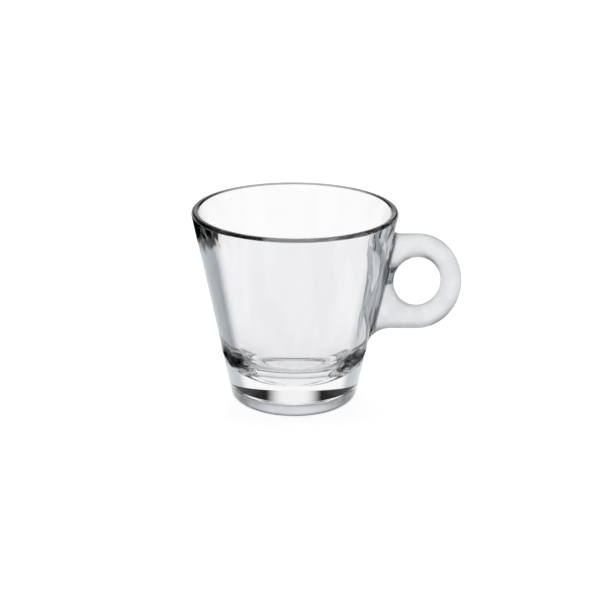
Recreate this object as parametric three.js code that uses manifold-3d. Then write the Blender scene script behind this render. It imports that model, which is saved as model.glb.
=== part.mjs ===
// Glass coffee cup: a conical pressed-glass bowl with a satin ring handle.
// Units are millimetres. +Z is up, the handle points along +X, and the cup stands on Z = 0.

import * as THREE from 'three';
import { mergeVertices } from 'three/addons/utils/BufferGeometryUtils.js';
import Module from 'manifold-3d';

// Bowl: outer wall lines at the rim and at the table, before lip and heel are rounded
const CUP_HEIGHT = 62;
const RIM_DIAMETER = 64.6;
const FOOT_DIAMETER = 39.4;
const HEEL_RADIUS = 2.7;

// Inside of the bowl: thin at the lip, thickest below it and round towards the floor
const LIP_THICKNESS = 2.3;
const LIP_RADIUS = 1;
const LIP_DEPTH = 11.5;
const LIP_BEND_RADIUS = 80;
const WALL_THICKNESS = 3.8;
const LOW_WALL_THICKNESS = 3;
const BASE_THICKNESS = 8.7;
const INNER_CORNER_RADIUS = 17;

// Underside: a flat foot ring around a recess with a sloping side
const RECESS_DIAMETER = 29;
const RECESS_DEPTH = 4;
const RECESS_TAPER = 1.3;
const RECESS_EDGE_RADIUS = 2;
const FOOT_RING_LEAST = 1;

// Handle: a flat ring with an oval finger hole, flared into the wall
const HANDLE_BELOW_RIM = 7.95;
const HANDLE_THICKNESS = 7.5;
const RAIL_BAND = 7.15;
const END_BAND = 6.5;
const HANDLE_EDGE_RADIUS = 2.6;
const HOLE_WIDTH = 14.8;
const HOLE_HEIGHT = 16.5;
const UPPER_FLARE_RADIUS = 1.6;
const LOWER_FLARE_RADIUS = 7.7;

// Clear glass between the satin ring and the bowl
const ROOT_DEPTH = 1;
const BRIDGE_WIDTH = 3.55;
const BRIDGE_HEIGHT = 5.7;
const BRIDGE_RISE = 2.85;

// Gap left at each bonded face
const BOND_GAP = 0.3;

// Smoothness of the round surfaces
const TURN_STEPS = 72;
const ARC_STEPS = 6;
const HOLE_STEPS = 40;
const END_STEPS = 28;
const EDGE_STEPS = 4;

const wasm = await Module();
wasm.setup();

// Radius of the outer wall's straight line at a height
const wallSlope = (RIM_DIAMETER - FOOT_DIAMETER) / 2 / CUP_HEIGHT;
const wallRadius = (height) => FOOT_DIAMETER / 2 + wallSlope * height;

// Places of the handle that follow from the sizes above
const handleTop = CUP_HEIGHT - HANDLE_BELOW_RIM;
const handleCentre = handleTop - RAIL_BAND - HOLE_HEIGHT / 2;
const handleBottom = handleCentre - HOLE_HEIGHT / 2 - RAIL_BAND;
const holeReach = wallRadius(handleCentre) + BRIDGE_WIDTH + HOLE_WIDTH / 2;
const bridgeCentre = handleCentre + BRIDGE_RISE;

// Replaces a sharp corner between two neighbours by an arc of the given radius
function roundCorner(before, corner, after, radius, steps) {
  const toBefore = before.clone().sub(corner).normalize();
  const toAfter = after.clone().sub(corner).normalize();
  const halfAngle = Math.acos(toBefore.dot(toAfter)) / 2;
  const bisector = toBefore.clone().add(toAfter).normalize();
  const centre = corner.clone().addScaledVector(bisector, radius / Math.sin(halfAngle));
  const start = corner.clone().addScaledVector(toBefore, radius / Math.tan(halfAngle));
  const sweep = (Math.PI - 2 * halfAngle) * Math.sign(toAfter.cross(toBefore));
  const spoke = start.sub(centre);
  return Array.from({ length: steps + 1 }, (_, step) =>
    spoke.clone().rotateAround(new THREE.Vector2(), (sweep * step) / steps).add(centre));
}

// Walks a list of [x, y] or [x, y, radius] corners and rounds those with a radius
function roundedPath(corners, steps) {
  const points = corners.map(([x, y]) => new THREE.Vector2(x, y));
  return corners.flatMap(([, , radius], index) =>
    radius
      ? roundCorner(points[index - 1], points[index], points[index + 1], radius, steps)
      : [points[index]]);
}

// Turns a profile of radius and height around the Z axis
function turned(profile) {
  return new THREE.LatheGeometry(profile, TURN_STEPS).rotateX(Math.PI / 2);
}

// Makes a solid for cutting and joining from a closed geometry
function solidOf(geometry) {
  const bare = geometry.clone();
  bare.deleteAttribute('normal');
  bare.deleteAttribute('uv');
  const merged = mergeVertices(bare, 1e-3);
  return new wasm.Manifold(new wasm.Mesh({
    numProp: 3,
    vertProperties: new Float32Array(merged.attributes.position.array),
    triVerts: new Uint32Array(merged.index.array),
  }));
}

// Brings a solid back as a geometry
function geometryOf(solid) {
  const { vertProperties, triVerts } = solid.getMesh();
  const geometry = new THREE.BufferGeometry();
  geometry.setAttribute('position', new THREE.BufferAttribute(vertProperties, 3));
  geometry.setIndex(new THREE.BufferAttribute(triVerts, 1));
  geometry.computeVertexNormals();
  return geometry;
}

// Bowl profile, from the axis under the base, up the outside and down the inside
function bowlGeometry() {
  const recess = Math.min(RECESS_DIAMETER / 2, FOOT_DIAMETER / 2 - HEEL_RADIUS - FOOT_RING_LEAST);
  const innerRim = RIM_DIAMETER / 2 - LIP_THICKNESS;
  const lipFoot = CUP_HEIGHT - LIP_DEPTH;
  const innerFloor = wallRadius(BASE_THICKNESS) - LOW_WALL_THICKNESS;
  const innerCorner = Math.min(INNER_CORNER_RADIUS, innerFloor);
  return turned(roundedPath([
    [0, RECESS_DEPTH],
    [recess - RECESS_TAPER, RECESS_DEPTH, RECESS_EDGE_RADIUS],
    [recess, 0],
    [FOOT_DIAMETER / 2, 0, HEEL_RADIUS],
    [RIM_DIAMETER / 2, CUP_HEIGHT, LIP_RADIUS],
    [innerRim, CUP_HEIGHT, LIP_RADIUS],
    [wallRadius(lipFoot) - WALL_THICKNESS, lipFoot, LIP_BEND_RADIUS],
    [innerFloor, BASE_THICKNESS, innerCorner],
    [0, BASE_THICKNESS],
  ], ARC_STEPS));
}

// Solid cone that stands off the outer wall by a distance
function wallCone(offset) {
  const low = -CUP_HEIGHT / 2;
  const high = CUP_HEIGHT * 1.5;
  return solidOf(turned([
    new THREE.Vector2(0, low),
    new THREE.Vector2(wallRadius(low) + offset, low),
    new THREE.Vector2(wallRadius(high) + offset, high),
    new THREE.Vector2(0, high),
  ]));
}

// Whole handle before it is split: a flat ring whose left side runs into the wall
function handleBlank() {
  const edge = Math.min(HANDLE_EDGE_RADIUS, 0.45 * Math.min(HANDLE_THICKNESS, RAIL_BAND, END_BAND));
  const endWidth = HOLE_WIDTH / 2 + END_BAND;
  const endHeight = HOLE_HEIGHT / 2 + RAIL_BAND;
  const upper = handleTop + 2 * (UPPER_FLARE_RADIUS + edge);
  const lower = handleBottom - 2 * (LOWER_FLARE_RADIUS + edge);
  const sunk = WALL_THICKNESS + edge;
  const upperRoot = roundedPath([
    [wallRadius(upper), upper],
    [wallRadius(handleTop), handleTop, UPPER_FLARE_RADIUS],
    [holeReach, handleTop],
  ], ARC_STEPS);
  const lowerRoot = roundedPath([
    [holeReach, handleBottom],
    [wallRadius(handleBottom), handleBottom, LOWER_FLARE_RADIUS],
    [wallRadius(lower), lower],
    [wallRadius(lower) - sunk, lower],
    [wallRadius(upper) - sunk, upper],
  ], ARC_STEPS);
  const end = new THREE.EllipseCurve(
    holeReach, handleCentre, endWidth, endHeight, Math.PI / 2, -Math.PI / 2, true);
  const outline = new THREE.Shape([
    ...upperRoot,
    ...end.getPoints(END_STEPS).slice(1, -1),
    ...lowerRoot,
  ]);
  const hole = new THREE.EllipseCurve(
    holeReach, handleCentre, HOLE_WIDTH / 2, HOLE_HEIGHT / 2, 0, 2 * Math.PI);
  outline.holes.push(new THREE.Path(hole.getPoints(HOLE_STEPS).slice(0, -1)));
  const plate = new THREE.ExtrudeGeometry(outline, {
    depth: HANDLE_THICKNESS - 2 * edge,
    bevelThickness: edge,
    bevelSize: edge,
    bevelOffset: -edge,
    bevelSegments: EDGE_STEPS,
  });
  plate.translate(0, 0, edge - HANDLE_THICKNESS / 2);
  return solidOf(plate.rotateX(Math.PI / 2));
}

// Block around the clear bridge, from the axis to the middle of the hole
function bridgeBlock(margin) {
  const block = new THREE.BoxGeometry(holeReach, 2 * HANDLE_THICKNESS, BRIDGE_HEIGHT + 2 * margin);
  block.translate(holeReach / 2, 0, bridgeCentre);
  return solidOf(block);
}

// Clear root strip along the wall, with the bridge that closes the ring
function handleRootGeometry(blank) {
  const clearZone = wallCone(ROOT_DEPTH).add(bridgeBlock(0));
  return geometryOf(blank.intersect(clearZone).subtract(wallCone(BOND_GAP)));
}

// Satin ring, open where the bridge fills it
function handleRingGeometry(blank) {
  const ring = blank.subtract(wallCone(ROOT_DEPTH + BOND_GAP));
  return geometryOf(ring.subtract(bridgeBlock(BOND_GAP)));
}

// Finishes
const clearGlass = new THREE.MeshStandardMaterial({
  color: 0xdfe8e6, roughness: 0.05, metalness: 0, transparent: true, opacity: 0.35,
});
const satinGlass = new THREE.MeshStandardMaterial({
  color: 0xeef0f2, roughness: 0.6, metalness: 0, transparent: true, opacity: 0.9,
});

function namedMesh(name, geometry, material) {
  const mesh = new THREE.Mesh(geometry, material);
  mesh.name = name;
  return mesh;
}

// Assembly, with its origin on the table under the middle of the overall length
const blank = handleBlank();
const cup = new THREE.Group();
cup.name = 'coffee_cup';
cup.add(namedMesh('glass_bowl', bowlGeometry(), clearGlass));
cup.add(namedMesh('handle_root', handleRootGeometry(blank), clearGlass.clone()));
cup.add(namedMesh('handle_ring', handleRingGeometry(blank), satinGlass));
const reach = new THREE.Box3().setFromObject(cup);
cup.position.x = -(reach.min.x + reach.max.x) / 2;

export default cup;
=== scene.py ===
# Glass coffee cup: fine glass meshes, finishes, camera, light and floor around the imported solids.
# Metres, +Z up, with the handle along +X.

import math

import bmesh
import bpy
from mathutils import Matrix, Vector


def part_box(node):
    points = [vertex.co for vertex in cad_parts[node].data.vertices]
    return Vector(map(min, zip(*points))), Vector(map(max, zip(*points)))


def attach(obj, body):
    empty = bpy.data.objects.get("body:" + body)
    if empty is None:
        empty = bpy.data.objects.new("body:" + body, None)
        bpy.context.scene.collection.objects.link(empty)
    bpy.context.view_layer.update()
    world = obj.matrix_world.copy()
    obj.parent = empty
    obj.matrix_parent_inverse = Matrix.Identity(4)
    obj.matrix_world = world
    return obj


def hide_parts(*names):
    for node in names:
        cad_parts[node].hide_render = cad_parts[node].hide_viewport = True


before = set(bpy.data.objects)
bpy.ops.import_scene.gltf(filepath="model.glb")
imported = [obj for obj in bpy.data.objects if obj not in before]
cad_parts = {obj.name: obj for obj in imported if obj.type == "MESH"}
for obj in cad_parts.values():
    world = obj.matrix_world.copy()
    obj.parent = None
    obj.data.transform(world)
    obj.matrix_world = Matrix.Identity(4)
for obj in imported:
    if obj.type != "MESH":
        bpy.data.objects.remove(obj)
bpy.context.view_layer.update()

MM = 0.001

# Place and height of the bowl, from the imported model
bowl_low, bowl_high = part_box("glass_bowl")
AXIS_X = (bowl_low.x + bowl_high.x) / 2
CUP_HEIGHT = bowl_high.z

# Bowl: outer wall lines at the rim and at the table, before lip and heel are rounded
RIM_RADIUS = 32.3 * MM
FOOT_RADIUS = 19.7 * MM
HEEL_RADIUS = 2.7 * MM
RECESS_RADIUS = 14.5 * MM
RECESS_DEPTH = 4 * MM
RECESS_TAPER = 1.3 * MM
RECESS_EDGE_RADIUS = 2 * MM

# Inside of the bowl: thin at the lip, thickest below it and round towards the floor
LIP_THICKNESS = 2.3 * MM
LIP_RADIUS = 1 * MM
LIP_DEPTH = 11.5 * MM
LIP_BEND_RADIUS = 80 * MM
WALL_THICKNESS = 3.8 * MM
LOW_WALL_THICKNESS = 3 * MM
BASE_THICKNESS = 8.7 * MM
INNER_CORNER_RADIUS = 17 * MM

# Handle: a flat ring with an oval finger hole, flared into the wall
HANDLE_TOP = CUP_HEIGHT - 7.95 * MM
HANDLE_HALF_THICKNESS = 3.75 * MM
RAIL_BAND = 7.15 * MM
END_BAND = 6.5 * MM
HANDLE_EDGE = 3.2 * MM
HOLE_HALF_WIDTH = 7.4 * MM
HOLE_HALF_HEIGHT = 8.25 * MM
UPPER_FLARE_RADIUS = 1.6 * MM
LOWER_FLARE_RADIUS = 7.7 * MM
FLARE_REACH = 1.4
HANDLE_SUNK = 8 * MM
FLARE_SINK = 0.3 * MM
SIDE_FLARE_RADIUS = 1.5 * MM
SIDE_FLARE_ROWS = 10
ROOT_DEPTH = 0.5 * MM
ROOT_SUNK = 1 * MM
BRIDGE_WIDTH = 3.55 * MM
BRIDGE_HEIGHT = 5.7 * MM
BRIDGE_RISE = 2.85 * MM

# Camera, fitted to the outline of the bowl in the photograph
CAMERA_ELEVATION = math.radians(20)
CAMERA_DISTANCE = 485 * MM
CAMERA_AIM_HEIGHT = 29.1 * MM
CAMERA_LENS = 91.87
CAMERA_SHIFT = (5.65 / 600, 8.85 / 600)
CAMERA_ROLL = 0.0065

# Clear glass
GLASS_IOR = 1.52
GLASS_GLOSS = (0.05, 0.05, 0.05, 1)
GLASS_ROUGHNESS = 0.04
GLASS_FACE_COLOUR = (0.88, 0.881, 0.888, 1)
GLASS_STREAK_COLOUR = (0.92, 0.921, 0.928, 1)
WAVE_SCALE = 120
WAVE_DEPTH = 0.05 * MM

# Painted shade on the outer glass where it turns away: along the wall, lighter at the base and beside
# the handle
GLASS_EDGE_START = 0.4
GLASS_EDGE_END = 0.54
PAINTED_EDGE_SHADE_COLOUR = (0.1, 0.12, 0.135, 1)
PAINTED_BASE_EDGE_SHADE_COLOUR = (0.25, 0.28, 0.3, 1)
BASE_SHADE_START = 12 * MM
BASE_SHADE_END = 20 * MM
PAINTED_BESIDE_HANDLE_SHADE_COLOUR = (0.35, 0.39, 0.42, 1)
BESIDE_START = 10 * MM
BESIDE_END = 20 * MM

# Painted dark shade on the outer glass: below the lip and around the corner of the floor
PAINTED_DARK_SHADE_COLOUR = (0.05, 0.056, 0.062, 1)
PAINTED_SHADE_VEIN_COLOUR = (0.33, 0.36, 0.38, 1)
SHADE_VEIN_START = 0.4
SHADE_VEIN_END = 0.62
LIP_SHADE_START = 68.5 * MM
LIP_SHADE_END = 71.5 * MM
LIP_SHADE_RAGGED = 10 * MM
LIP_SHADE_SLANT = 14 * MM
LIP_SHADE_BESIDE = 0.5
CORNER_SHADE_START = 17 * MM
CORNER_SHADE_END = 20 * MM
CORNER_FADE_START = 21 * MM
CORNER_FADE_END = 27 * MM
CORNER_RAGGED = 8 * MM
CORNER_SCALE = 250
CORNER_STRETCH = 1.6
CORNER_SPREAD = 0.3

# Lip and rim, greyed and darkened by painted shade
LIP_RING = 0.9 * MM
LIP_PAINTED_SHADE_COLOUR = (0.11, 0.115, 0.12, 1)
LIP_PAINTED_DARK_SHADE_COLOUR = (0.002, 0.002, 0.002, 1)
LIP_STREAK_SCALE = 60
RIM_RING = 0.35 * MM
RIM_PAINTED_SHADE_COLOUR = (0.16, 0.165, 0.17, 1)
RIM_PAINTED_SHADE_STREAK_COLOUR = (0.18, 0.185, 0.19, 1)

# Root and bridge of the handle: painted shade darkens their clear glass
ROOT_PAINTED_SHADE_COLOUR = (0.2, 0.22, 0.24, 1)
ROOT_PAINTED_DARK_SHADE_COLOUR = (0.02, 0.022, 0.025, 1)
BRIDGE_PAINTED_SHADE_COLOUR = (0.1, 0.115, 0.125, 1)
BRIDGE_PAINTED_SHADE_STREAK_COLOUR = (0.11, 0.125, 0.135, 1)

# Frosted foot and satin ring
FROST_HEIGHT = 3.5 * MM
FOOT_COLOUR = (0.84, 0.86, 0.91, 1)
FOOT_CLOUD_COLOUR = (0.74, 0.76, 0.81, 1)
FOOT_ROUGHNESS = 0.4
SATIN_COLOUR = (0.84, 0.85, 0.87, 1)
SATIN_CLOUD_COLOUR = (0.75, 0.76, 0.78, 1)
SATIN_ROUGHNESS = 0.45
ROUGHNESS_SPREAD = 0.08
CLOUD_SCALE = 200
CLOUD_STRETCH = 1
GRAIN_SCALE = 2500
GRAIN_DEPTH = 0.02 * MM

# Streaks in the glass, along the height
STREAK_SCALE = 500
STREAK_STRETCH = 0.2
STREAK_DETAIL = 3
STREAK_START = 0.45
STREAK_END = 0.6

# Stage
FLOOR_REACH = 3
FLOOR_DROP = 0.05 * MM
FLOOR_COLOUR = (0.6, 0.6, 0.6, 1)
FLOOR_FILL = 0.8
BACKDROP_HALF_WIDTH = math.radians(44)
BACKDROP_TOP = math.sin(math.radians(8))
BACKDROP_FADE = math.sin(math.radians(3))
STRIP_HALF_WIDTH = math.radians(12)
OVERHEAD_ELEVATION = math.radians(76)
OVERHEAD_REACH = math.radians(30)
LIGHT_SOFTNESS = math.radians(7)
STUDIO_DIM = 0.01

# Fineness of the meshes
TURN_STEPS = 384
ARC_STEPS = 24
ELLIPSE_STEPS = 192
WALL_STEP = 0.5 * MM
EDGE_STEPS = 12
MERGE_DISTANCE = 0.0001 * MM
SHARP_ANGLE = math.radians(35)


def wall_radius(height):
    return FOOT_RADIUS + (RIM_RADIUS - FOOT_RADIUS) * height / CUP_HEIGHT


def round_corner(before, corner, after, radius):
    """An arc of the given radius in place of a sharp corner."""
    to_before = (before - corner).normalized()
    to_after = (after - corner).normalized()
    half_angle = to_before.angle(to_after) / 2
    centre = corner + (to_before + to_after).normalized() * radius / math.sin(half_angle)
    spoke = corner + to_before * radius / math.tan(half_angle) - centre
    turn = math.copysign(math.pi - 2 * half_angle, to_after.cross(to_before))
    return [
        centre + Matrix.Rotation(turn * step / ARC_STEPS, 2) @ spoke
        for step in range(ARC_STEPS + 1)
    ]


def rounded_path(corners):
    """A path through (x, z) or (x, z, radius) corners, with the last kind rounded."""
    points = [Vector(corner[:2]) for corner in corners]
    path = []
    for index, corner in enumerate(corners):
        if len(corner) == 3:
            path += round_corner(points[index - 1], points[index], points[index + 1], corner[2])
        else:
            path.append(points[index])
    return path


def refine(path, step):
    """The same path with its long straight stretches divided."""
    fine = [path[0]]
    for start, end in zip(path, path[1:]):
        count = max(1, math.ceil((end - start).length / step))
        fine += [start.lerp(end, share / count) for share in range(1, count + 1)]
    return fine


def mesh_object(name, vertices, faces):
    mesh = bpy.data.meshes.new(name)
    mesh.from_pydata(vertices, [], faces)
    obj = bpy.data.objects.new(name, mesh)
    bpy.context.scene.collection.objects.link(obj)
    return obj


def tidy_mesh(mesh):
    """Merges doubled points and points all faces outwards."""
    work = bmesh.new()
    work.from_mesh(mesh)
    bmesh.ops.remove_doubles(work, verts=work.verts, dist=MERGE_DISTANCE)
    bmesh.ops.dissolve_degenerate(work, edges=work.edges, dist=MERGE_DISTANCE / 10)
    bmesh.ops.recalc_face_normals(work, faces=work.faces)
    work.to_mesh(mesh)
    work.free()


# Bowl


def bowl_profile():
    inner_rim = RIM_RADIUS - LIP_THICKNESS
    lip_foot = CUP_HEIGHT - LIP_DEPTH
    inner_floor = wall_radius(BASE_THICKNESS) - LOW_WALL_THICKNESS
    return refine(
        rounded_path(
            [
                (0, RECESS_DEPTH),
                (RECESS_RADIUS - RECESS_TAPER, RECESS_DEPTH, RECESS_EDGE_RADIUS),
                (RECESS_RADIUS, 0),
                (FOOT_RADIUS, 0, HEEL_RADIUS),
                (RIM_RADIUS, CUP_HEIGHT, LIP_RADIUS),
                (inner_rim, CUP_HEIGHT, LIP_RADIUS),
                (wall_radius(lip_foot) - WALL_THICKNESS, lip_foot, LIP_BEND_RADIUS),
                (inner_floor, BASE_THICKNESS, INNER_CORNER_RADIUS),
                (0, BASE_THICKNESS),
            ]
        ),
        WALL_STEP,
    )


# Places of the bowl's finishes in its list of materials
INSIDE, OUTSIDE, LIP, RIM, FOOT = range(5)


def make_bowl(finishes):
    profile = bowl_profile()
    top = max(range(len(profile)), key=lambda row: profile[row].y)
    vertices = []
    faces = []
    for radius, height in profile:
        for step in range(TURN_STEPS):
            angle = 2 * math.pi * step / TURN_STEPS
            vertices.append((AXIS_X + radius * math.cos(angle), radius * math.sin(angle), height))
    for row in range(len(profile) - 1):
        for step in range(TURN_STEPS):
            low = row * TURN_STEPS
            high = low + TURN_STEPS
            beside = (step + 1) % TURN_STEPS
            faces.append((low + step, low + beside, high + beside, high + step))
    bowl = mesh_object("body", vertices, faces)
    for finish in finishes:
        bowl.data.materials.append(finish)
    for face in bowl.data.polygons:
        reach = math.hypot(face.center.x - AXIS_X, face.center.y)
        height = face.center.z
        if face.index >= top * TURN_STEPS:
            face.material_index = RIM if height > CUP_HEIGHT - RIM_RING else INSIDE
        elif height < FROST_HEIGHT and reach < FOOT_RADIUS - HEEL_RADIUS:
            face.material_index = FOOT
        else:
            face.material_index = LIP if height > CUP_HEIGHT - LIP_RING else OUTSIDE
    tidy_mesh(bowl.data)
    return bowl


# Handle


HANDLE_CENTRE = HANDLE_TOP - RAIL_BAND - HOLE_HALF_HEIGHT
HANDLE_BOTTOM = HANDLE_CENTRE - HOLE_HALF_HEIGHT - RAIL_BAND
HOLE_REACH = wall_radius(HANDLE_CENTRE) + BRIDGE_WIDTH + HOLE_HALF_WIDTH
BRIDGE_LOW = HANDLE_CENTRE + BRIDGE_RISE - BRIDGE_HEIGHT / 2
BRIDGE_HIGH = HANDLE_CENTRE + BRIDGE_RISE + BRIDGE_HEIGHT / 2


def ellipse(half_width, half_height, start, end):
    """Part of an ellipse around the finger hole's centre, between two angles."""
    turn = (end - start) / ELLIPSE_STEPS
    angles = [start + turn * step for step in range(ELLIPSE_STEPS + 1)]
    return [
        Vector((HOLE_REACH + half_width * math.cos(a), HANDLE_CENTRE + half_height * math.sin(a)))
        for a in angles
    ]


def handle_outline():
    """Closed outer edge of the handle, whose left side lies deep inside the wall."""
    upper = HANDLE_TOP + (UPPER_FLARE_RADIUS + HANDLE_EDGE) * FLARE_REACH
    lower = HANDLE_BOTTOM - LOWER_FLARE_RADIUS * FLARE_REACH
    upper_root = rounded_path(
        [
            (wall_radius(upper) - FLARE_SINK, upper),
            (wall_radius(HANDLE_TOP), HANDLE_TOP, UPPER_FLARE_RADIUS),
            (HOLE_REACH, HANDLE_TOP),
        ]
    )[:-1]
    lower_root = rounded_path(
        [
            (HOLE_REACH, HANDLE_BOTTOM),
            (wall_radius(HANDLE_BOTTOM), HANDLE_BOTTOM, LOWER_FLARE_RADIUS),
            (wall_radius(lower) - FLARE_SINK, lower),
            (wall_radius(lower) - HANDLE_SUNK, lower),
            (wall_radius(upper) - HANDLE_SUNK, upper),
        ]
    )[1:]
    half_width = HOLE_HALF_WIDTH + END_BAND
    half_height = HOLE_HALF_HEIGHT + RAIL_BAND
    end = ellipse(half_width, half_height, math.pi / 2, -math.pi / 2)
    return upper_root + end + lower_root


def rounded_plate(name, outlines):
    """A plate standing in the XZ plane, round along all its edges."""
    curve = bpy.data.curves.new(name, "CURVE")
    curve.dimensions = "2D"
    curve.fill_mode = "BOTH"
    curve.extrude = HANDLE_HALF_THICKNESS - HANDLE_EDGE
    curve.bevel_depth = HANDLE_EDGE
    curve.bevel_resolution = EDGE_STEPS
    curve.offset = -HANDLE_EDGE
    for outline in outlines:
        spline = curve.splines.new("POLY")
        spline.points.add(len(outline) - 1)
        spline.use_cyclic_u = True
        for point, place in zip(spline.points, outline):
            point.co = (AXIS_X + place.x, place.y, 0, 1)
    plate = bpy.data.objects.new(name, curve)
    bpy.context.scene.collection.objects.link(plate)
    bpy.context.view_layer.update()
    evaluated = plate.evaluated_get(bpy.context.evaluated_depsgraph_get())
    mesh = bpy.data.meshes.new_from_object(evaluated)
    bpy.data.objects.remove(plate)
    mesh.transform(Matrix.Rotation(math.pi / 2, 4, "X"))
    made = bpy.data.objects.new(name, mesh)
    bpy.context.scene.collection.objects.link(made)
    tidy_mesh(mesh)
    return made


def stand_off(place):
    """Distance of a place beside the wall from the wall, along X."""
    return place.x - AXIS_X - wall_radius(place.z)


def flare_sides(mesh):
    """Adds rows of points along the wall and the bridge, and widens the plate towards the wall."""
    slope = (RIM_RADIUS - FOOT_RADIUS) / CUP_HEIGHT
    rows = [SIDE_FLARE_RADIUS * row / SIDE_FLARE_ROWS for row in range(SIDE_FLARE_ROWS + 1)]
    planes = [((AXIS_X + FOOT_RADIUS + row, 0, 0), (1, 0, -slope)) for row in rows + [ROOT_DEPTH]]
    planes += [((0, 0, height), (0, 0, 1)) for height in (BRIDGE_LOW, BRIDGE_HIGH)]
    work = bmesh.new()
    work.from_mesh(mesh)
    for place, normal in planes:
        parts = work.verts[:] + work.edges[:] + work.faces[:]
        bmesh.ops.bisect_plane(
            work, geom=parts, dist=MERGE_DISTANCE, plane_co=place, plane_no=normal)
    for vertex in work.verts:
        share = min(1, max(0, 1 - stand_off(vertex.co) / SIDE_FLARE_RADIUS))
        flare = SIDE_FLARE_RADIUS * (1 - math.sqrt(1 - share ** 2))
        vertex.co.y *= 1 + flare / HANDLE_HALF_THICKNESS
    work.to_mesh(mesh)
    work.free()


def wall_core():
    """Solid cone that lies inside the wall, turned by half a step against the bowl."""
    vertices = []
    for height in (0, CUP_HEIGHT):
        for step in range(TURN_STEPS):
            angle = 2 * math.pi * (step + 0.5) / TURN_STEPS
            radius = wall_radius(height) - ROOT_SUNK
            vertices.append((AXIS_X + radius * math.cos(angle), radius * math.sin(angle), height))
    faces = [tuple(range(TURN_STEPS)), tuple(range(TURN_STEPS, 2 * TURN_STEPS))]
    for step in range(TURN_STEPS):
        beside = (step + 1) % TURN_STEPS
        faces.append((step, beside, TURN_STEPS + beside, TURN_STEPS + step))
    core = mesh_object("wall_core", vertices, faces)
    tidy_mesh(core.data)
    return core


def combine(solid, other, operation):
    """Joins another solid to a solid, or cuts it away."""
    modifier = solid.modifiers.new("combine", "BOOLEAN")
    modifier.operation = operation
    modifier.solver = "EXACT"
    modifier.object = other
    modifier.material_mode = "TRANSFER"
    evaluated = solid.evaluated_get(bpy.context.evaluated_depsgraph_get())
    solid.data = bpy.data.meshes.new_from_object(evaluated)
    solid.modifiers.clear()
    bpy.data.objects.remove(other)


# Places of the handle's finishes in its list of materials
ROOT, BRIDGE, SATIN = range(3)


def handle_finish(place):
    """Which finish a place on the handle has."""
    if stand_off(place) < ROOT_DEPTH:
        return ROOT
    if BRIDGE_LOW < place.z < BRIDGE_HIGH and place.x - AXIS_X < HOLE_REACH:
        return BRIDGE
    return SATIN


def make_handle(finishes):
    hole = ellipse(HOLE_HALF_WIDTH, HOLE_HALF_HEIGHT, 0, 2 * math.pi)[:-1]
    handle = rounded_plate("handle", [handle_outline(), hole])
    flare_sides(handle.data)
    for finish in finishes:
        handle.data.materials.append(finish)
    for face in handle.data.polygons:
        face.material_index = handle_finish(face.center)
    combine(handle, wall_core(), "DIFFERENCE")
    return handle


def part_of(body, name, finishes):
    """The faces of a body that have one of the finishes, as an object of their own."""
    chosen = [body.data.materials.find(finish.name) for finish in finishes]
    work = bmesh.new()
    work.from_mesh(body.data)
    others = [face for face in work.faces if face.material_index not in chosen]
    bmesh.ops.delete(work, geom=others, context="FACES")
    for face in work.faces:
        face.material_index = chosen.index(face.material_index)
    made = mesh_object(name, [], [])
    for finish in finishes:
        made.data.materials.append(finish)
    work.to_mesh(made.data)
    work.free()
    made.data.shade_smooth()
    made.data.set_sharp_from_angle(angle=SHARP_ANGLE)
    return made


# Finishes


def new_material(name):
    material = bpy.data.materials.new(name)
    material.use_nodes = True
    nodes = material.node_tree.nodes
    return material, nodes, material.node_tree.links, nodes["Principled BSDF"]


def soft_edge(nodes, links, value, start, end):
    """Rises smoothly from 0 at start to 1 at end."""
    edge = nodes.new("ShaderNodeMapRange")
    edge.interpolation_type = "SMOOTHSTEP"
    edge.inputs["From Min"].default_value = start
    edge.inputs["From Max"].default_value = end
    links.new(value, edge.inputs["Value"])
    return edge.outputs["Result"]


def streaks(nodes, links, scale, stretch=STREAK_STRETCH):
    """Noise in the range 0 to 1, drawn out along the height where stretch is below 1."""
    mapping = nodes.new("ShaderNodeMapping")
    mapping.inputs["Scale"].default_value = (scale, scale, scale * stretch)
    links.new(nodes.new("ShaderNodeTexCoord").outputs["Object"], mapping.inputs["Vector"])
    noise = nodes.new("ShaderNodeTexNoise")
    noise.inputs["Scale"].default_value = 1
    noise.inputs["Detail"].default_value = STREAK_DETAIL
    links.new(mapping.outputs["Vector"], noise.inputs["Vector"])
    return noise.outputs["Fac"]


def add_bump(nodes, links, shader, height, depth):
    bump = nodes.new("ShaderNodeBump")
    bump.inputs["Distance"].default_value = depth
    links.new(height, bump.inputs["Height"])
    links.new(bump.outputs["Normal"], shader.inputs["Normal"])


def mixed(nodes, links, share, first, second):
    """A colour between two, each given as a constant or a socket."""
    mix = nodes.new("ShaderNodeMix")
    mix.data_type = "RGBA"
    links.new(share, mix.inputs["Factor"])
    for socket, colour in (("A", first), ("B", second)):
        target = next(i for i in mix.inputs if i.name == socket and i.type == "RGBA")
        if isinstance(colour, tuple):
            target.default_value = colour
        else:
            links.new(colour, target)
    return next(o for o in mix.outputs if o.type == "RGBA")


def split(nodes, links, vector):
    parts = nodes.new("ShaderNodeSeparateXYZ")
    links.new(vector, parts.inputs["Vector"])
    return parts.outputs


def combined(nodes, links, operation, first, second):
    node = nodes.new("ShaderNodeMath")
    node.operation = operation
    links.new(first, node.inputs[0])
    links.new(second, node.inputs[1])
    return node.outputs["Value"]


def shifted(nodes, links, base, share, reach):
    """A value raised by a share of a reach."""
    node = nodes.new("ShaderNodeMath")
    node.operation = "MULTIPLY_ADD"
    links.new(share, node.inputs[0])
    node.inputs[1].default_value = reach
    links.new(base, node.inputs[2])
    return node.outputs["Value"]


def ranged(nodes, links, value, low, high):
    """A value from 0 to 1 brought between two others, the lower one a constant or a socket."""
    node = nodes.new("ShaderNodeMapRange")
    links.new(value, node.inputs["Value"])
    node.inputs["To Max"].default_value = high
    if isinstance(low, (int, float)):
        node.inputs["To Min"].default_value = low
    else:
        links.new(low, node.inputs["To Min"])
    return node.outputs["Result"]


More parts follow.
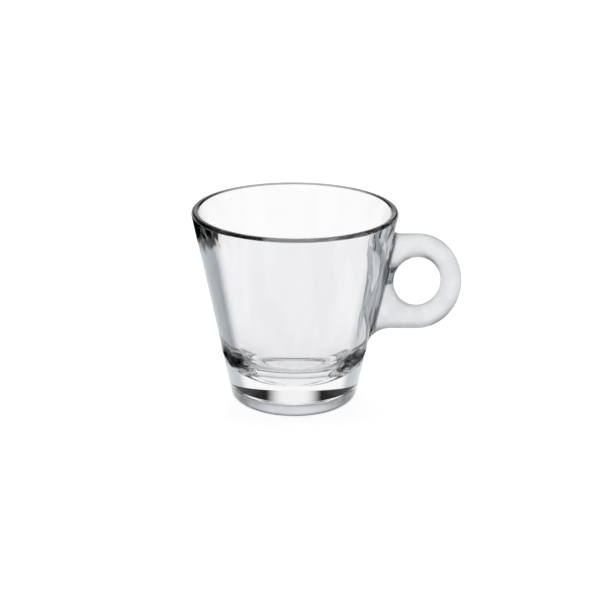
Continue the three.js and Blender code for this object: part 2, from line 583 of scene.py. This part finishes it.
def clear_glass(name):
    """Clear pressed glass, faintly wavy, still without its colour."""
    material, nodes, links, shader = new_material(name)
    shader.inputs["IOR"].default_value = GLASS_IOR
    shader.inputs["Specular Tint"].default_value = GLASS_GLOSS
    shader.inputs["Transmission Weight"].default_value = 1
    waves = streaks(nodes, links, WAVE_SCALE)
    add_bump(nodes, links, shader, waves, WAVE_DEPTH)
    links.new(ranged(nodes, links, waves, 0, GLASS_ROUGHNESS), shader.inputs["Roughness"])
    return material, nodes, links, shader


def streaked_glass(name, colour, streak, scale):
    """Clear glass with streaks of a second colour; on the lip, rim, root and bridge both colours are
    painted shade.
    """
    material, nodes, links, shader = clear_glass(name)
    share = soft_edge(nodes, links, streaks(nodes, links, scale), STREAK_START, STREAK_END)
    links.new(mixed(nodes, links, share, colour, streak), shader.inputs["Base Color"])
    return material


def edged_glass(name):
    """Clear glass with painted shade: greyer where its surface turns away, and darkest there by the
    lip and the floor.
    """
    material, nodes, links, shader = clear_glass(name)
    place = split(nodes, links, nodes.new("ShaderNodeTexCoord").outputs["Object"])
    height = place["Z"]
    beside = soft_edge(nodes, links, place["X"], AXIS_X + BESIDE_START, AXIS_X + BESIDE_END)
    facing = nodes.new("ShaderNodeLayerWeight").outputs["Facing"]
    shade_veins = streaks(nodes, links, STREAK_SCALE)
    blots = streaks(nodes, links, CORNER_SCALE, CORNER_STRETCH)

    # Painted dark shade: ragged below the lip, and in a band around the floor of the bowl
    lip_level = shifted(nodes, links, height, shade_veins, LIP_SHADE_RAGGED)
    lip_level = shifted(nodes, links, lip_level, facing, LIP_SHADE_SLANT)
    below_lip = soft_edge(nodes, links, lip_level, LIP_SHADE_START, LIP_SHADE_END)
    weaker = ranged(nodes, links, beside, 1, LIP_SHADE_BESIDE)
    below_lip = combined(nodes, links, "MULTIPLY", below_lip, weaker)
    corner_level = shifted(nodes, links, height, blots, CORNER_RAGGED)
    corner = soft_edge(nodes, links, corner_level, CORNER_SHADE_START, CORNER_SHADE_END)
    above = soft_edge(nodes, links, corner_level, CORNER_FADE_START, CORNER_FADE_END)
    band = combined(nodes, links, "SUBTRACT", corner, above)
    dark = combined(nodes, links, "MAXIMUM", below_lip, band)

    # Painted shade where the surface turns away, reaching further in along the band
    spread = combined(nodes, links, "MULTIPLY", blots, band)
    turned = shifted(nodes, links, facing, spread, CORNER_SPREAD)
    aside = soft_edge(nodes, links, turned, GLASS_EDGE_START, GLASS_EDGE_END)

    # Colour: the glass's own tint, with painted shade where the surface turns away
    # Painted dark shade, broken by lighter veins
    share = soft_edge(nodes, links, shade_veins, SHADE_VEIN_START, SHADE_VEIN_END)
    shade = mixed(nodes, links, share, PAINTED_DARK_SHADE_COLOUR, PAINTED_SHADE_VEIN_COLOUR)
    # Painted shade: dark along the wall, lighter beside the handle and at the base
    wall = mixed(nodes, links, beside, PAINTED_EDGE_SHADE_COLOUR, PAINTED_BESIDE_HANDLE_SHADE_COLOUR)
    over_base = soft_edge(nodes, links, height, BASE_SHADE_START, BASE_SHADE_END)
    edge = mixed(nodes, links, over_base, PAINTED_BASE_EDGE_SHADE_COLOUR, wall)
    edge = mixed(nodes, links, dark, edge, shade)
    tint_and_painted_shade = mixed(nodes, links, aside, GLASS_FACE_COLOUR, edge)
    links.new(tint_and_painted_shade, shader.inputs["Base Color"])

    # The painted dark places don't mirror the room on the outside
    dull = ranged(nodes, links, combined(nodes, links, "MULTIPLY", aside, dark), GLASS_IOR, 1)
    inside = nodes.new("ShaderNodeNewGeometry").outputs["Backfacing"]
    links.new(ranged(nodes, links, inside, dull, GLASS_IOR), shader.inputs["IOR"])
    return material


def satin_glass(name, colour, cloud, roughness):
    """Frosted glass with faint clouds of a second colour and a fine grain."""
    material, nodes, links, shader = new_material(name)
    clouds = streaks(nodes, links, CLOUD_SCALE, CLOUD_STRETCH)
    share = soft_edge(nodes, links, clouds, STREAK_START, STREAK_END)
    links.new(mixed(nodes, links, share, colour, cloud), shader.inputs["Base Color"])
    shader.inputs["IOR"].default_value = GLASS_IOR
    shader.inputs["Transmission Weight"].default_value = 1
    grain = nodes.new("ShaderNodeTexNoise")
    grain.inputs["Scale"].default_value = GRAIN_SCALE
    links.new(nodes.new("ShaderNodeTexCoord").outputs["Object"], grain.inputs["Vector"])
    add_bump(nodes, links, shader, grain.outputs["Fac"], GRAIN_DEPTH)
    patches = streaks(nodes, links, STREAK_SCALE)
    rough = ranged(nodes, links, patches, roughness - ROUGHNESS_SPREAD, roughness + ROUGHNESS_SPREAD)
    links.new(rough, shader.inputs["Roughness"])
    return material


# Stage


def make_floor():
    """A white floor that stays white in the glass, and keeps the cup's shadow."""
    floor = mesh_object(
        "floor",
        [
            (-FLOOR_REACH, -FLOOR_REACH, 0),
            (FLOOR_REACH, -FLOOR_REACH, 0),
            (FLOOR_REACH, FLOOR_REACH, 0),
            (-FLOOR_REACH, FLOOR_REACH, 0),
        ],
        [(0, 1, 2, 3)],
    )
    floor.location.z = -FLOOR_DROP
    material, nodes, links, shader = new_material("floor")
    shader.inputs["Base Color"].default_value = FLOOR_COLOUR
    shader.inputs["Roughness"].default_value = 1
    shader.inputs["Specular IOR Level"].default_value = 0
    shader.inputs["Emission Color"].default_value = (1, 1, 1, 1)
    path = nodes.new("ShaderNodeLightPath")
    seen = path.outputs["Is Camera Ray"]
    for kind in ("Is Glossy Ray", "Is Transmission Ray"):
        seen = combined(nodes, links, "MAXIMUM", seen, path.outputs[kind])
    links.new(ranged(nodes, links, seen, 0, FLOOR_FILL), shader.inputs["Emission Strength"])
    floor.data.materials.append(material)


def vector_step(nodes, links, operation, vector, constant=(0, 0, 0)):
    node = nodes.new("ShaderNodeVectorMath")
    node.operation = operation
    node.inputs[1].default_value = constant
    links.new(vector, node.inputs[0])
    return node.outputs["Value" if operation == "DOT_PRODUCT" else "Vector"]


def beam(nodes, links, cosine, half_angle):
    """A light seen within an angle of its middle, given the cosine of the angle from there."""
    outer = math.cos(half_angle + LIGHT_SOFTNESS)
    inner = math.cos(half_angle - LIGHT_SOFTNESS)
    return soft_edge(nodes, links, cosine, outer, inner)


def make_world():
    """A dim studio with a low white backdrop, tall strips on four sides and an overhead light."""
    world = bpy.data.worlds.new("studio")
    world.use_nodes = True
    bpy.context.scene.world = world
    nodes = world.node_tree.nodes
    links = world.node_tree.links
    way = nodes.new("ShaderNodeTexCoord").outputs["Generated"]
    level = vector_step(nodes, links, "MULTIPLY", way, (1, 1, 0))
    heading = vector_step(nodes, links, "NORMALIZE", level)
    behind = split(nodes, links, heading)["Y"]
    rise = split(nodes, links, way)["Z"]
    wide = beam(nodes, links, behind, BACKDROP_HALF_WIDTH)
    low = soft_edge(nodes, links, rise, BACKDROP_TOP + BACKDROP_FADE, BACKDROP_TOP - BACKDROP_FADE)
    backdrop = combined(nodes, links, "MULTIPLY", wide, low)
    sides = split(nodes, links, vector_step(nodes, links, "ABSOLUTE", heading))
    nearest = combined(nodes, links, "MAXIMUM", sides["X"], sides["Y"])
    strip = beam(nodes, links, nearest, STRIP_HALF_WIDTH)
    overhead_way = (0, math.cos(OVERHEAD_ELEVATION), math.sin(OVERHEAD_ELEVATION))
    overhead = vector_step(nodes, links, "DOT_PRODUCT", way, overhead_way)
    white = combined(nodes, links, "MAXIMUM", backdrop, strip)
    white = combined(nodes, links, "MAXIMUM", white, beam(nodes, links, overhead, OVERHEAD_REACH))
    background = nodes["Background"]
    background.inputs["Color"].default_value = (1, 1, 1, 1)
    links.new(ranged(nodes, links, white, STUDIO_DIM, 1), background.inputs["Strength"])


def make_camera():
    data = bpy.data.cameras.new("camera")
    camera = bpy.data.objects.new("camera", data)
    bpy.context.scene.collection.objects.link(camera)
    bpy.context.scene.camera = camera
    data.lens = CAMERA_LENS
    data.shift_x, data.shift_y = CAMERA_SHIFT
    back = Vector((0, -math.cos(CAMERA_ELEVATION), math.sin(CAMERA_ELEVATION)))
    aim = Vector((AXIS_X, 0, CAMERA_AIM_HEIGHT))
    camera.rotation_mode = "QUATERNION"
    camera.location = aim + back * CAMERA_DISTANCE
    turn = (-back).to_track_quat("-Z", "Y")
    camera.rotation_quaternion = turn @ Matrix.Rotation(CAMERA_ROLL, 3, "Z").to_quaternion()


bowl_finishes = [
    streaked_glass("inner_glass", GLASS_FACE_COLOUR, GLASS_STREAK_COLOUR, WAVE_SCALE),
    edged_glass("outer_glass"),
    # Painted shade: the lip's dark line and the rim's grey
    streaked_glass("lip_glass", LIP_PAINTED_SHADE_COLOUR, LIP_PAINTED_DARK_SHADE_COLOUR, LIP_STREAK_SCALE),
    streaked_glass("rim_glass", RIM_PAINTED_SHADE_COLOUR, RIM_PAINTED_SHADE_STREAK_COLOUR, WAVE_SCALE),
    satin_glass("foot_glass", FOOT_COLOUR, FOOT_CLOUD_COLOUR, FOOT_ROUGHNESS),
]
# Painted shade: the clear root and bridge are coloured dark grey
root_finishes = [
    streaked_glass("root_glass", ROOT_PAINTED_SHADE_COLOUR, ROOT_PAINTED_DARK_SHADE_COLOUR, STREAK_SCALE),
    streaked_glass("bridge_glass", BRIDGE_PAINTED_SHADE_COLOUR, BRIDGE_PAINTED_SHADE_STREAK_COLOUR, WAVE_SCALE),
]
ring_finishes = [satin_glass("satin_glass", SATIN_COLOUR, SATIN_CLOUD_COLOUR, SATIN_ROUGHNESS)]

# One body of glass, taken apart again where its finish changes
body = make_bowl(bowl_finishes)
combine(body, make_handle(root_finishes + ring_finishes), "UNION")
bowl = part_of(body, "bowl", bowl_finishes)
root = part_of(body, "clear_root", root_finishes)
ring = part_of(body, "satin_ring", ring_finishes)
bpy.data.objects.remove(body)

for piece, node, slot in (
    (bowl, "glass_bowl", "clear_glass"),
    (root, "handle_root", "clear_glass"),
    (ring, "handle_ring", "satin_glass"),
):
    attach(piece, "root")
    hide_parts(node)

make_floor()
make_world()
make_camera()

scene = bpy.context.scene
scene.view_settings.view_transform = "Standard"
scene.cycles.max_bounces = 32
scene.cycles.transmission_bounces = 32
scene.cycles.glossy_bounces = 16
